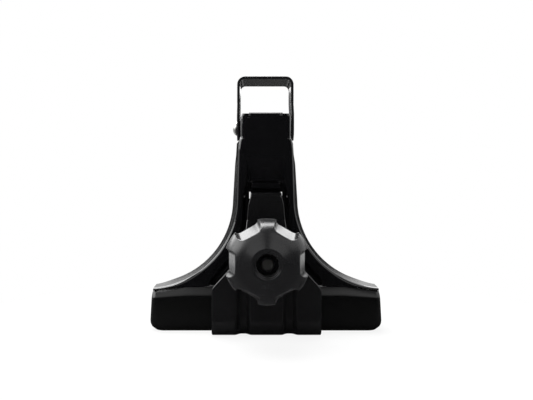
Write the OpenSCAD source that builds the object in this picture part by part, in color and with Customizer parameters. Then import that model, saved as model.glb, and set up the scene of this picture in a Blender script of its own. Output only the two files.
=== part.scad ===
// Roof bar foot for cars with rain gutters.
// A pressed steel tower stands on a moulded shoe in the gutter. A lever bracket
// hooks under the gutter's lip and is drawn in by a six-lobed knob on a fixed
// bolt. A steel shackle on a cross bolt holds a square load bar on the saddle.
// +X is to the right, +Y points to the middle of the roof and +Z is up. The
// origin is the middle of the shoe's underside. All sizes are in millimetres.

/* [Load bar] */
// Width of the square load bar
bar_w = 32; // [28:0.5:38]
// Height of the square load bar
bar_h = 22; // [18:0.5:30]
// Side clearance between the bar and the shackle, each side
bar_side_gap = 0.8; // [0.4:0.1:1.5]
// Clearance between the bar and the shackle's top
bar_top_gap = 1.9; // [0.8:0.1:3]

/* [Tower] */
// Height of the saddle above the shoe's underside
saddle_z = 137.5; // [130:0.5:150]
// Width of the saddle over the flanges' top edges
saddle_w = 30.4; // [29:0.2:31]
// Width over the flanges between the shackle's ears
pinch_w = 32; // [31:0.2:32.4]
// Length of the saddle along the bar
saddle_len = 30; // [27:0.5:34]
// Width of the bent tab that carries the bar
saddle_tab_w = 21.4; // [16:0.2:22]
// Thickness of the pressed sheet
sheet = 2; // [1.6:0.1:2.4]
// Outer radius of the sheet's folds
fold_r = 3; // [2.8:0.1:4]
// Width over the neck's folds, just below the shackle's ears
neck_w = 34.7; // [34:0.1:36]
// Widening of each side of the neck, in degrees
neck_taper = 1.8; // [1:0.1:3]
// Radius of the concave sweep from the neck to each wing
sweep_r = 56.6; // [50:0.2:62]
// Depth of the side flanges
flange_d = 21; // [18:0.5:24]
// Depth of the side flanges at the wing tips
flange_tip_d = 12; // [9:0.5:15]
// How far the flanges lean outward at their back edge, at the neck's foot
flange_lean = 3; // [2:0.1:3.4]
// How far they lean outward at the neck's top
neck_lean = 2; // [1.5:0.1:2.6]
// How far they lean outward at the wing tips
tip_lean = 0.6; // [0:0.1:1]
// How far the web's lower edge flares forward over the shoe
skirt_flare = 2.6; // [1:0.1:3.5]

/* [Recess in the tower] */
// Depth of the pressed recess behind the bracket
recess_depth = 4; // [3:0.1:5]
// Width of the recess at its top
recess_top_w = 24; // [23:0.2:26]
// Width of the recess beside the tongue
recess_w = 30.2; // [27:0.2:31]
// Margin between the bracket's shoulders and the recess's edge
recess_margin = 3.2; // [2:0.1:4]
// Height of the rib over the tongue's slot
rib_h = 5.8; // [5:0.1:7]

/* [Gutter shoe] */
// Height of the shoe below the tower's skirt
shoe_h = 27; // [23:0.5:30]
// Depth of the shoe across the gutter
shoe_d = 26; // [24:0.5:30]
// How much wider the shoe is at its foot than at its top, each side
shoe_draft = 1.2; // [0.5:0.1:2]
// Radius of the shoe's lower corners
shoe_corner_r = 6; // [3:0.5:8]
// Height of the rounded shoulder along the shoe's top edges
shoulder_h = 5.4; // [4:0.1:6]

/* [Clamp bracket] */
// Thickness of the bracket's plate
plate = 3; // [2.4:0.1:3.6]
// Width of the bracket's lower half
clamp_w = 65.8; // [60:0.2:70]
// Width of the tongue
tongue_w = 19.5; // [18:0.1:21]
// Height of the tongue's top, above the shoe's underside
tongue_z = 86.4; // [83:0.2:89]
// Distance from the web's face to the tongue's face
tongue_out = 8; // [7:0.2:9]
// Distance from the web's face to the lower half's face
clamp_out = 20; // [18:0.2:22]
// Depth of the two stiffening grooves
groove_depth = 3.5; // [2.5:0.1:4]
// Width of each stiffening groove at the plate's face
groove_w = 9.2; // [8:0.1:10]
// Distance of each groove from the middle
groove_x = 14; // [13:0.1:17]
// Reach of the hook under the gutter's lip
hook_reach = 9.5; // [8:0.1:11]
// Thickness of the hook's rubber guard
guard = 1.4; // [1:0.1:2]

/* [Clamp bolt and knob] */
// Height of the clamp bolt above the shoe's underside
bolt_z = 46; // [43:0.5:49]
// Thread diameter of the clamp bolt
bolt_d = 8; // [7:0.5:9]
// Diameter over the knob's lobes
knob_d = 49.8; // [44:0.2:54]
// Depth of the knob's grip
knob_depth = 22; // [20:0.5:24]
// Distance from the bracket's face to the back of the grip
knob_stand = 10; // [9:0.2:12]
// Diameter of the knob's hub
hub_d = 22; // [20:0.2:24]
// Number of lobes on the knob
lobes = 6; // [5:1:7]
// Depth of the finger notches below the lobes
notch_depth = 3; // [2:0.1:4]
// Width of each lobe
lobe_w = 10.8; // [8:0.2:12]
// Lean of the notches, in degrees
notch_lean = 13.7; // [8:0.1:15]
// Diameter of the recess in the knob's face
face_hole_d = 12.6; // [11.5:0.1:14]
// How far the bolt's end lies below the knob's face
bolt_sunk = 5; // [3:0.1:7]
// Outer diameter of the thrust washer
washer_d = 24; // [20:0.2:26]
// Thickness of the thrust washer
washer_t = 2; // [1.4:0.1:2.4]

/* [Shackle and cross bolt] */
// Thickness of the shackle's strap
strap = 1.9; // [1.5:0.1:2.4]
// Width of the shackle's strap along the bar
strap_w = 25; // [21:0.5:28]
// Inner radius of the shackle's bends
strap_r = 3.4; // [2:0.1:4]
// Depth of the cross bolt below the saddle
cross_drop = 8.5; // [8:0.1:9.5]
// Distance of the cross bolt behind the web's face
cross_back = 18.5; // [17:0.1:20]
// Thread diameter of the cross bolt
cross_d = 5; // [4:0.5:6]
// Radius of the shackle's ears round the cross bolt
ear_r = 8; // [7:0.1:8.4]
// Diameter of the cross bolt's domed head
head_d = 9.2; // [8.4:0.1:10.5]
// Height of the cross bolt's domed head
head_h = 2.7; // [2:0.1:3.2]

/* [Clearances] */
// Gap between pieces that move past each other
gap = 0.3; // [0.2:0.05:0.5]
// Radial clearance of a turning fit
run_fit = 0.1; // [0.05:0.01:0.1]
// Clearance of a bolt in a drilled or punched hole, on the radius
hole_fit = 0.2; // [0.1:0.05:0.4]

/* [Hidden] */
$fn = 64;
big = 200;

// Planes across the tower, from the front to the back.
web_y = -shoe_d * 4 / 13;
web_back = web_y + sheet;
floor_y = web_y + recess_depth;
floor_back = floor_y + sheet;
tongue_y = web_y - tongue_out;
clamp_y = web_y - clamp_out;

// The neck and the wing's sweep.
sweep_end = 86;
tip_z = shoe_h - 1;
sweep_cz = tip_z + sweep_r * sin(sweep_end);
sweep_top_z = sweep_cz - sweep_r * sin(neck_taper);
cross_z = saddle_z - cross_drop;
cross_y = web_y + cross_back;
pinch_z = cross_z - ear_r - gap;
shoulder_step = 1.4;
neck_top_z = pinch_z - shoulder_step;
neck_foot_x = neck_w / 2 + (neck_top_z - sweep_top_z) * tan(neck_taper);
sweep_cx = neck_foot_x + sweep_r * cos(neck_taper);
tip_x = sweep_cx - sweep_r * cos(sweep_end);
skirt_top_z = shoe_h + 9;
seam_drop = 2.6;
seam_flat_x = tip_x * 0.7;
shoe_half = tip_x + 0.7;
seam_slope = seam_drop / (shoe_half - seam_flat_x);
neck_draw = 0.8;
trim = 0.5;

// The bracket's outline, half of it, from the tongue's top to the foot.
shoulder_z = shoe_h + 1.3;
waist_z = bolt_z + 1.8;
clamp_half = [[tongue_w / 2, tongue_z + 20], [tongue_w / 2, tongue_z - 3],
              [tongue_w / 2 + 1.3, tongue_z - 8], [tongue_w / 2 + 1.9, tongue_z - 15],
              [tongue_w / 2 + 3.2, bolt_z + 12], [tongue_w / 2 + 5.2, waist_z],
              [clamp_w / 2, shoulder_z], [clamp_w / 2, -20]];
joggle_top = tongue_z - 18;
joggle_foot = bolt_z + washer_d / 2 - 4;
lip_end_y = floor_back + 2 * gap + plate / 2;
bend_r = plate / 2 + 1.2;
hook_tip_y = clamp_y + hook_reach;
swing_deg = 12.8;
slot_top_z = tongue_z + gap;
slot_foot_z = tongue_z - plate - 3 * gap;

// The knob's stack on the bolt, from the bracket's face outward.
washer_back = clamp_y - gap;
hub_back = washer_back - washer_t - gap;
knob_back = clamp_y - knob_stand;
knob_face = knob_back - knob_depth;
bolt_end = knob_face + bolt_sunk;
nut_af = bolt_d * 1.625;
nut_t = bolt_d * 0.8;
bolt_plate_t = 3;
bolt_plate_w = 28;
bolt_plate_h = 30;
head_t = 4;
retainer_t = 1.2;

// The shackle round the bar, and the stack along the cross bolt.
loop_w = bar_w + 2 * bar_side_gap;
loop_z = saddle_z + bar_h + bar_top_gap;
strap_y = cross_y - 3.5;
flange_in = pinch_w / 2 - sheet;
cross_nut_t = cross_d * 0.8;
washer_r = cross_d / 2 + 3;

function unit(v) = v / norm(v);
function turned(v, a) = [v.x * cos(a) - v.y * sin(a), v.x * sin(a) + v.y * cos(a)];
function left_of(v) = [-v.y, v.x];

// The points of one rounded corner at b, each with the normal to its left.
function bend(a, b, c, r, steps) =
    let (u = unit(a - b), v = unit(c - b), half = acos(max(-1, min(1, u * v))) / 2,
         side = cross(b - a, c - b) > 0 ? 1 : -1,
         centre = b + unit(u + v) * r / sin(half), start = b + u * r / tan(half))
    [for (k = [0:steps])
        let (spoke = turned(start - centre, side * (180 - 2 * half) * k / steps))
        [centre + spoke, -side * unit(spoke)]];

// A line through the points with rounded corners, as [point, left normal] pairs.
function rounded_line(p, r, steps = 4) =
    let (last = len(p) - 1)
    concat([[p[0], left_of(unit(p[1] - p[0]))]],
           [for (i = [1:last - 1]) each bend(p[i - 1], p[i], p[i + 1], r, steps)],
           [[p[last], left_of(unit(p[last] - p[last - 1]))]]);

// The outline of a strip of thickness t that follows the line.
function strip(line, t) =
    concat([for (q = line) q[0] + q[1] * t / 2],
           [for (i = [len(line) - 1:-1:0]) line[i][0] - line[i][1] * t / 2]);

function mirrored(half) =
    concat(half, [for (i = [len(half) - 1:-1:0]) [-half[i].x, half[i].y]]);

// Extrudes an outline in X and Z along +Y, from y0 over a depth.
module front_prism(y0, depth) {
    translate([0, y0 + depth, 0]) rotate([90, 0, 0]) linear_extrude(depth) children();
}

// Extrudes an outline in Y and Z along +X, centred on the middle plane.
module side_prism(width) {
    translate([-width / 2, 0, 0]) rotate([90, 0, 90]) linear_extrude(width) children();
}

// A bar of circular section along +Y, from y0 over a length, at a height z.
module rod_y(y0, length, d, z) {
    translate([0, y0 + length, z]) rotate([90, 0, 0]) cylinder(h = length, d = d);
}

// The same along +X, through a point of the middle plane.
module rod_x(x0, length, d, y, z) {
    translate([x0, y, z]) rotate([0, 90, 0]) cylinder(h = length, d = d);
}

module rounded_rect(w, h, r) {
    union() {
        square([w - 2 * r, h], center = true);
        square([w, h - 2 * r], center = true);
        for (sx = [-1, 1], sz = [-1, 1])
            translate([sx * (w / 2 - r), sz * (h / 2 - r)]) circle(r);
    }
}

// The front face of the web at a height: flat, then flared over the shoe.
function face_y(z) =
    z >= skirt_top_z ? web_y
    : web_y - skirt_flare * (1 - cos(90 * min(1, (skirt_top_z - z) / (skirt_top_z - shoe_h))));

// One station along the tower's edge, from the wing tip to the saddle:
// [x, z, normal x, normal z, lean of the back edge, depth of the flange].
function sweep_station(a) =
    let (x = sweep_cx - sweep_r * cos(a), from_tip = min(1, (tip_x - x) / (0.18 * tip_x)))
    [x, sweep_cz - sweep_r * sin(a), cos(a), sin(a),
     flange_lean + (tip_lean - flange_lean)
         * pow(max(0, a - neck_taper) / (sweep_end - neck_taper), 1.5),
     flange_tip_d + (flange_d - flange_tip_d) * from_tip];

function neck_station(z) =
    let (rise = max(0, min(1, (z - neck_top_z + 16) / 10)),
         up = (z - sweep_top_z) / (neck_top_z - sweep_top_z),
         draw = neck_draw * pow(max(0, (z - neck_top_z + 8) / 8), 2))
    [neck_w / 2 + (neck_top_z - z) * tan(neck_taper) - draw, z, 1, 0,
     flange_lean + (neck_lean - flange_lean) * up + draw,
     flange_d + (saddle_len - flange_d) * rise];

stations = concat(
    [for (k = [0:18]) sweep_station(sweep_end + (neck_taper - sweep_end) * k / 18)],
    [for (z = [sweep_top_z + 8, neck_top_z - 16, neck_top_z - 11, neck_top_z - 6,
               neck_top_z - 3, neck_top_z])
        neck_station(z)],
    [[(neck_station(neck_top_z)[0] + pinch_w / 2) / 2, (neck_top_z + pinch_z) / 2, 1, 0,
      (neck_lean + neck_draw) / 2, saddle_len],
     [pinch_w / 2, pinch_z, 1, 0, 0, saddle_len],
     [pinch_w / 2, cross_z + washer_r, 1, 0, 0, saddle_len],
     [saddle_w / 2, saddle_z + trim, 1, 0, 0, saddle_len]]);

// Half of the sheet's section at a station, from the web's face round the fold to
// the flange's back edge and back inside, as [distance along the normal, depth].
function fold_section(lean, d) =
    concat([for (a = [0:22.5:90]) [-fold_r + fold_r * sin(a), fold_r - fold_r * cos(a)]],
           [[lean, d], [lean - sheet, d]],
           [for (a = [90:-45:0]) [-fold_r + (fold_r - sheet) * sin(a),
                                  fold_r - (fold_r - sheet) * cos(a)]]);

function half_ring(s) =
    [for (q = fold_section(s[4], s[5]))
        let (x = s[0] + s[2] * q.x, z = s[1] + s[3] * q.x)
        [x, (q.y > fold_r ? web_y : face_y(z)) + q.y, z]];

// The ring through both flanges and the web, a closed loop round the sheet.
function station_ring(s) =
    let (half = half_ring(s), last = len(half) - 1)
    concat(half, [for (j = [last:-1:0]) [-half[j].x, half[j].y, half[j].z]]);

// The web and both flanges as one skin over the rings of all the stations.
module folded_sheet() {
    rings = [for (s = stations) station_ring(s)];
    m = len(rings[0]);
    n = len(rings);
    h = m / 2;
    top = (n - 1) * m;
    polyhedron(
        points = [for (ring = rings) each ring],
        faces = concat(
            [[for (j = [0:h - 1]) j], [h - 1, h, m - 1, 0], [for (j = [h:m - 1]) j]],
            [for (i = [0:n - 2], j = [0:m - 1])
                [i * m + j, (i + 1) * m + j, (i + 1) * m + (j + 1) % m]],
            [for (i = [0:n - 2], j = [0:m - 1])
                [i * m + j, (i + 1) * m + (j + 1) % m, i * m + (j + 1) % m]],
            [[for (j = [h - 1:-1:0]) top + j], [top, top + m - 1, top + h, top + h - 1],
             [for (j = [m - 1:-1:h]) top + j]]));
}

// Everything above the seam between the tower and the shoe, and below the saddle's
// rounded corners.
module above_seam() {
    corner_foot = [pinch_w / 2 + 1.4, cross_z];
    front_prism(-big / 2, big) polygon(mirrored(concat(
        [[seam_flat_x, shoe_h], [tip_x + 5, shoe_h - seam_slope * (tip_x + 5 - seam_flat_x)],
         [tip_x + 5, cross_z], corner_foot],
        [for (q = bend(corner_foot, [saddle_w / 2 + 0.2, saddle_z], [0, saddle_z],
                       saddle_corner_r, 4)) q[0]])));
}

// The pressed recess, seen from the front, with its walls moved out by grow.
recess_ramp = 11;
recess_top_z = tongue_z + rib_h + 5;
function recess_outline(grow) =
    let (half = [[recess_top_w / 2, recess_top_z + 2 * recess_ramp], [recess_top_w / 2, recess_top_z],
                 [recess_w / 2 - 0.4, tongue_z - 5], [recess_w / 2, bolt_z + 20],
                 [tongue_w / 2 + 5.2 + recess_margin, waist_z + recess_margin],
                 [clamp_w / 2 + recess_margin, shoulder_z + recess_margin / 2],
                 [clamp_w / 2 + recess_margin, 0]])
    mirrored([for (p = half) [p.x + grow, p.y]]);

// The hollow in front of the recess's floor and of the ramp at its top.
module recess_hollow() {
    run = 11;
    intersection() {
        front_prism(web_y - run, run + recess_depth + 1) polygon(recess_outline(0));
        side_prism(big) polygon(
            [[web_y - run, 0],
             [web_y - run, recess_top_z + (recess_depth + run) * recess_ramp / recess_depth],
             [floor_y, recess_top_z], [floor_y, 0]]);
    }
}

// The sheet round the hollow: the recess's walls, ramp and floor, from inside the web.
module recess_skin() {
    steps = 6;
    intersection() {
        front_prism(web_y - sheet - skirt_flare, 3 * sheet + skirt_flare + recess_depth)
            polygon(recess_outline(sheet));
        side_prism(big) polygon(concat(
            [[floor_back, 0], [floor_back, recess_top_z + sheet],
             [web_y + sheet / 2, recess_top_z + recess_ramp + sheet / 2]],
            [for (k = [0:steps]) let (z = skirt_top_z - (skirt_top_z - shoe_h) * k / steps)
                [face_y(z) + sheet / 2, z]],
            [[face_y(0) + sheet / 2, 0]]));
        above_seam();
    }
}

// The rib pressed forward over the tongue's slot: its skin with wall = 0, its hollow
// with wall = sheet.
module slot_rib(wall) {
    rib_out = 2.8;
    front_prism(floor_y - rib_out + wall, rib_out + (wall > 0 ? sheet + 1 : sheet / 2))
        translate([0, slot_top_z + 1 + rib_h / 2])
            rounded_rect(tongue_w + 0.8 - 2 * wall, rib_h - 2 * wall, wall > 0 ? 0.8 : 2);
}

// The tab bent back from the web's top, which the load bar rests on.
tab_relief = 0.2;
tab_foot_z = saddle_z - fold_r - 0.8;
saddle_corner_r = 2;
module saddle_tab() {
    side_prism(saddle_tab_w) polygon(strip(rounded_line(
        [[web_y + sheet / 2, tab_foot_z - 1], [web_y + sheet / 2, saddle_z - sheet / 2],
         [web_y + saddle_len - 3, saddle_z - sheet / 2]], fold_r - sheet / 2, 6), sheet));
}

module tower() {
    color([0.05, 0.05, 0.055])
    difference() {
        union() {
            difference() {
                union() {
                    difference() {
                        intersection() {
                            folded_sheet();
                            above_seam();
                        }
                        translate([-saddle_tab_w / 2 - tab_relief, web_y - 1, tab_foot_z])
                            cube([saddle_tab_w + 2 * tab_relief, sheet + 2, big]);
                    }
                    recess_skin();
                    saddle_tab();
                }
                recess_hollow();
            }
            slot_rib(0);
        }
        slot_rib(sheet);
        front_prism(floor_y - 1, sheet + 2) translate([0, (slot_top_z + slot_foot_z) / 2])
            square([tongue_w + 1.5, slot_top_z - slot_foot_z], center = true);
        front_prism(floor_y - 1, sheet + 2) translate([0, bolt_z])
            square(bolt_d + 2 * hole_fit, center = true);
        rod_x(-big / 2, big, cross_d + 2 * hole_fit, cross_y, cross_z);
    }
}

module gutter_shoe() {
    half = shoe_half;
    foot = half + shoe_draft;
    round_rise = shoulder_h;
    front_y = -shoe_d / 2;
    ledge_y = face_y(shoe_h) + 0.2;
    back_y = shoe_d / 2;
    outline = [[0, 0], [foot, 0], [half, shoe_h - seam_drop - gap], [seam_flat_x, shoe_h - gap],
               [0, shoe_h - gap]];
    color([0.06, 0.06, 0.065]) {
        intersection() {
            front_prism(-big / 2, big) polygon(mirrored(concat(
                [for (q = bend(outline[0], outline[1], outline[2], shoe_corner_r, 6)) q[0]],
                [outline[2], outline[3]])));
            side_prism(big) polygon(concat(
                [[front_y, 0]],
                [for (a = [0:15:90])
                    [front_y + (ledge_y - front_y) * (1 - cos(a)),
                     shoe_h - round_rise + round_rise * sin(a)]],
                [for (a = [90:-15:0])
                    [back_y - (ledge_y - front_y) * (1 - cos(a)),
                     shoe_h - round_rise + round_rise * sin(a)]],
                [[back_y, 0]]));
            linear_extrude(big) rounded_rect(2 * foot, shoe_d, 4);
        }
        for (side = [0, 1]) mirror([side, 0, 0]) shoe_plug();
    }
}

// The block on the shoe that fills the wing and holds the shoe in the tower.
module shoe_plug() {
    x0 = clamp_w / 2 + recess_margin + sheet + gap;
    x1 = tip_x - 13;
    reach = sweep_r + sheet + 2 * gap;
    front_prism(web_back + gap, flange_d - sheet - 4) polygon(concat(
        [[x1, shoe_h - 4], [x0, shoe_h - 4]],
        [for (k = [0:6]) let (x = x0 + (x1 - x0) * k / 6)
            [x, sweep_cz - sqrt(reach * reach - pow(sweep_cx - x, 2))]]));
}

// Both grooves: the cut in the face with grow = 0, the skin behind it with grow = plate.
module grooves(grow) {
    slope = 2.8;
    for (side = [-1, 1])
        translate([side * groove_x, 0, grow > 0 ? 0 : -1])
            linear_extrude(joggle_foot + (grow > 0 ? 0 : 1)) polygon(
                [[-groove_w / 2 - (grow > 0 ? 1.2 : 0), clamp_y + (grow > 0 ? plate : 0)],
                 [-groove_w / 2 - (grow > 0 ? 1.2 : 0), clamp_y - (grow > 0 ? 0 : 1)],
                 [groove_w / 2 + (grow > 0 ? 1.2 : 0), clamp_y - (grow > 0 ? 0 : 1)],
                 [groove_w / 2 + (grow > 0 ? 1.2 : 0), clamp_y + (grow > 0 ? plate : 0)],
                 [groove_w / 2 - slope + (grow > 0 ? 1.2 : 0), clamp_y + groove_depth + grow],
                 [slope - groove_w / 2 - (grow > 0 ? 1.2 : 0), clamp_y + groove_depth + grow]]);
}

module clamp_bracket() {
    half_t = plate / 2;
    line = rounded_line(
        [[lip_end_y, tongue_z + 3.5], [lip_end_y, tongue_z - half_t],
         [tongue_y + half_t, tongue_z - half_t], [tongue_y + half_t, joggle_top],
         [clamp_y + half_t, joggle_foot], [clamp_y + half_t, half_t], [hook_tip_y, half_t]],
        bend_r);
    slot_drop = clamp_out * 1.2 * sin(swing_deg) + (tongue_z - bolt_z) * (1 - cos(swing_deg)) + 2 * gap;
    slot_w = bolt_d + 1;
    color([0.06, 0.06, 0.065]) difference() {
        union() {
            intersection() {
                side_prism(big) polygon(strip(line, plate));
                front_prism(-big / 2, big) polygon(mirrored([for (q = rounded_line(clamp_half, 2.5)) q[0]]));
            }
            grooves(plate);
        }
        grooves(0);
        front_prism(clamp_y - 1, plate + 2) translate([0, bolt_z])
            union() {
                circle(d = slot_w);
                translate([-slot_w / 2, -slot_drop]) square([slot_w, slot_drop]);
                translate([0, -slot_drop]) circle(d = slot_w);
            }
    }
}

// A rubber channel pushed over the hook's edge, so that it doesn't mark the gutter.
module hook_guard() {
    lap = hook_reach / 4;
    inset = clamp_w / 32;
    color([0.09, 0.09, 0.09]) side_prism(clamp_w - 2 * inset) polygon(
        [[hook_tip_y, gap], [hook_tip_y + guard, gap], [hook_tip_y + guard, plate + guard],
         [hook_tip_y - lap, plate + guard], [hook_tip_y - lap, plate], [hook_tip_y, plate]]);
}

module bar_shackle() {
    outer_w = loop_w + 2 * strap;
    rise = loop_z + strap;
    drop = cross_z - 2 * ear_r;
    back_y = strap_y + strap_w;
    color([0.05, 0.05, 0.055]) difference() {
        intersection() {
            front_prism(-big / 4, big / 2) difference() {
                translate([0, (rise + drop) / 2])
                    rounded_rect(outer_w, rise - drop, strap_r + strap);
                translate([0, (loop_z + drop) / 2 - 20])
                    rounded_rect(loop_w, loop_z - drop + 40, strap_r);
            }
            union() {
                rod_x(-big / 2, big, 2 * ear_r, cross_y, cross_z);
                side_prism(big) polygon(
                    [[strap_y, big], [strap_y, cross_z + 16], [cross_y - ear_r, cross_z + 9],
                     [cross_y - ear_r, cross_z], [cross_y + ear_r * cos(32), cross_z - ear_r * sin(32)],
                     [back_y, cross_z + 20], [back_y, big]]);
            }
        }
        rod_x(-big / 2, big, cross_d + 2 * run_fit, cross_y, cross_z);
    }
}

module cross_bolt() {
    ear_out = loop_w / 2 + strap;
    color([0.75, 0.75, 0.74]) union() {
        rod_x(-ear_out, 2 * ear_out - gap, cross_d, cross_y, cross_z);
        translate([-ear_out, cross_y, cross_z]) rotate([0, -90, 0]) rotate_extrude()
            polygon(concat([[0, run_fit]],
                [for (k = [0:6]) let (a = 12 + (90 - 12) * k / 6)
                    [head_d / 2 * cos(a) / cos(12), run_fit + 0.5 + (head_h - 0.5) * (sin(a) - sin(12)) / (1 - sin(12))]],
                []));
        translate([-ear_out, cross_y, cross_z]) rotate([0, -90, 0])
            cylinder(h = run_fit + 0.5, d = head_d);
    }
}

module cross_nut() {
    color([0.75, 0.75, 0.74]) translate([flange_in - cross_nut_t, cross_y, cross_z])
        rotate([0, 90, 0]) difference() {
            cylinder(h = cross_nut_t, d = cross_d * 1.6 / cos(30), $fn = 6);
            translate([0, 0, -1]) cylinder(h = cross_nut_t + 2, d = cross_d + 2 * run_fit);
        }
}

// The tube that keeps the flanges apart when the cross bolt is tightened.
module spacer_sleeve() {
    length = 2 * flange_in - cross_nut_t;
    color([0.7, 0.7, 0.7]) translate([-flange_in, cross_y, cross_z]) rotate([0, 90, 0])
        difference() {
            cylinder(h = length, d = cross_d + 4);
            translate([0, 0, -1]) cylinder(h = length + 2, d = cross_d + 2 * hole_fit);
        }
}

// The two washers that fill the space between the tower and the shackle's ears.
module shackle_washers() {
    space = loop_w / 2 - pinch_w / 2;
    color([0.12, 0.12, 0.12]) for (side = [0, 1]) mirror([side, 0, 0])
        translate([pinch_w / 2, cross_y, cross_z]) rotate([0, 90, 0]) difference() {
            cylinder(h = space - run_fit, r = washer_r);
            translate([0, 0, -1]) cylinder(h = space + 2, d = cross_d + 2 * hole_fit);
        }
}

// The carriage bolt: domed head, square neck and plain shank.
module clamp_bolt() {
    head_back = floor_back + bolt_plate_t;
    color([0.7, 0.7, 0.68]) union() {
        rod_y(bolt_end + 1, head_back - bolt_end - 1, bolt_d, bolt_z);
        translate([0, bolt_end + 1, bolt_z]) rotate([90, 0, 0])
            cylinder(h = 1, d1 = bolt_d, d2 = bolt_d - 2);
        translate([-bolt_d / 2, floor_y, bolt_z - bolt_d / 2])
            cube([bolt_d, head_back - floor_y, bolt_d]);
        translate([0, head_back, bolt_z]) rotate([-90, 0, 0]) rotate_extrude()
            polygon([[0, 0], [bolt_d * 1.25, 0], [bolt_d * 1.25, 0.8], [bolt_d * 1.05, 2.2],
                     [bolt_d * 0.7, 3.4], [bolt_d * 0.3, head_t], [0, head_t]]);
    }
}

// The doubler behind the recess, which spreads the bolt's pull.
module bolt_plate() {
    color([0.2, 0.2, 0.2]) difference() {
        front_prism(floor_back, bolt_plate_t) translate([0, bolt_z])
            rounded_rect(bolt_plate_w, bolt_plate_h, 4);
        front_prism(floor_back - 1, bolt_plate_t + 2) translate([0, bolt_z])
            square(bolt_d + 2 * hole_fit, center = true);
    }
}

// The push-on ring that stops the bolt from falling back.
module bolt_retainer() {
    color([0.6, 0.6, 0.58]) difference() {
        rod_y(floor_y - retainer_t, retainer_t, bolt_d * 2, bolt_z);
        rod_y(floor_y - retainer_t - 1, retainer_t + 2, bolt_d + run_fit, bolt_z);
    }
}

module thrust_washer() {
    color([0.7, 0.7, 0.68]) difference() {
        rod_y(washer_back - washer_t, washer_t, washer_d, bolt_z);
        rod_y(washer_back - washer_t - 1, washer_t + 2, bolt_d + 2 * hole_fit, bolt_z);
    }
}

// One finger notch with hollow ends, cut across the knob's edge and leaning to its face.
module finger_notch() {
    r = knob_d / 2;
    half_angle = 180 / lobes - asin(lobe_w / knob_d);
    hollow_r = 3.4;
    rim_depth = min(hollow_r, r * cos(half_angle) - r + notch_depth);
    flat_half = r * sin(half_angle) - sqrt(pow(hollow_r, 2) - pow(hollow_r - rim_depth, 2));
    translate([r - notch_depth, 0, 0]) rotate([0, -notch_lean, 0])
        translate([0, 0, -10]) linear_extrude(knob_depth + 20) union() {
            translate([0, -flat_half]) square([20, 2 * flat_half]);
            translate([hollow_r, -flat_half - hollow_r]) square([20, 2 * (flat_half + hollow_r)]);
            for (side = [-1, 1]) translate([hollow_r, side * flat_half]) circle(hollow_r);
        }
}

module knob() {
    r = knob_d / 2;
    hub_len = hub_back - knob_back;
    hole_floor = knob_depth - 10;
    color([0.1, 0.1, 0.105]) translate([0, knob_back, bolt_z]) rotate([90, 0, 0]) difference() {
        union() {
            difference() {
                rotate_extrude() polygon(concat(
                    [[0, 0], [r - 0.4, 0], [r, 0.4]],
                    [for (a = [10:10:60]) [r * pow(cos(a), 0.9), knob_depth * pow(sin(a), 0.86)]],
                    [[face_hole_d / 2 + 2.8, knob_depth], [face_hole_d / 2, knob_depth - 0.9],
                     [0, knob_depth - 0.9]]));
                for (i = [0:lobes - 1]) rotate(90 + 180 / lobes + 360 / lobes * i) finger_notch();
            }
            translate([0, 0, -hub_len]) cylinder(h = hub_len + 1, d = hub_d);
        }
        translate([0, 0, -hub_len - 1]) cylinder(h = big, d = bolt_d + 2 * hole_fit);
        translate([0, 0, -hub_len - 1])
            cylinder(h = nut_t + 1 + gap, d = (nut_af + run_fit) / cos(30), $fn = 6);
        translate([0, 0, hole_floor]) cylinder(h = big, d = face_hole_d);
    }
}

// The steel nut moulded into the knob's hub.
module knob_nut() {
    color([0.7, 0.7, 0.68]) translate([0, hub_back, bolt_z]) rotate([90, 0, 0]) difference() {
        cylinder(h = nut_t, d = nut_af / cos(30), $fn = 6);
        translate([0, 0, -1]) cylinder(h = nut_t + 2, d = bolt_d + 2 * run_fit);
    }
}

tower();
gutter_shoe();
clamp_bracket();
hook_guard();
bar_shackle();
cross_bolt();
cross_nut();
spacer_sleeve();
shackle_washers();
clamp_bolt();
bolt_plate();
bolt_retainer();
thrust_washer();
knob();
knob_nut();
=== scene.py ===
import math
from types import SimpleNamespace

import bmesh
import bpy
import numpy as np
from bpy.props import FloatProperty, FloatVectorProperty, IntProperty, PointerProperty
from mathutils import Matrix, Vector


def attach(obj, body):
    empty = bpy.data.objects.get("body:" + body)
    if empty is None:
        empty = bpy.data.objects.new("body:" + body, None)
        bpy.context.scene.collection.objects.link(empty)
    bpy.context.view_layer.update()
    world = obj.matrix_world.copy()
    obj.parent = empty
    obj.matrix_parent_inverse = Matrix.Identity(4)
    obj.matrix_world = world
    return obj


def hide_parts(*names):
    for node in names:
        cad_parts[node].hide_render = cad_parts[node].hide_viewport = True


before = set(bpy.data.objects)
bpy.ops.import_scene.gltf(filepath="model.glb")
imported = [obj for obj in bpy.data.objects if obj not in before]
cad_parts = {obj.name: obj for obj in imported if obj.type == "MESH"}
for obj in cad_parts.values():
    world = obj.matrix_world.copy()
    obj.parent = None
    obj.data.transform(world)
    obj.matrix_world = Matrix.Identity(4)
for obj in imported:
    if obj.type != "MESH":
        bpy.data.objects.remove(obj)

bl_info = {
    "name": "Roof Bar Foot",
    "version": (1, 0, 0),
    "blender": (4, 5, 0),
    "location": "View3D > Sidebar > Roof Bar Foot",
    "description": "Builds the visible surfaces, finishes, light and camera of a roof bar foot",
    "category": "Object",
}

MM = 0.001
PHOTO_W = 533


def length(label, text, mm, low=0.0):
    """A size that a user may change, given in millimetres and kept in metres."""
    return FloatProperty(
        name=label, description=text, default=mm * MM, min=low, unit="LENGTH", precision=5
    )


def tint(label, text, rgb):
    """A colour that a user may change."""
    return FloatVectorProperty(
        name=label, description=text, default=rgb, size=3, min=0, max=1, subtype="COLOR"
    )


def share(label, text, value):
    """A share from 0 to 1 that a user may change."""
    return FloatProperty(
        name=label, description=text, default=value, min=0, max=1, subtype="FACTOR"
    )


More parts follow.
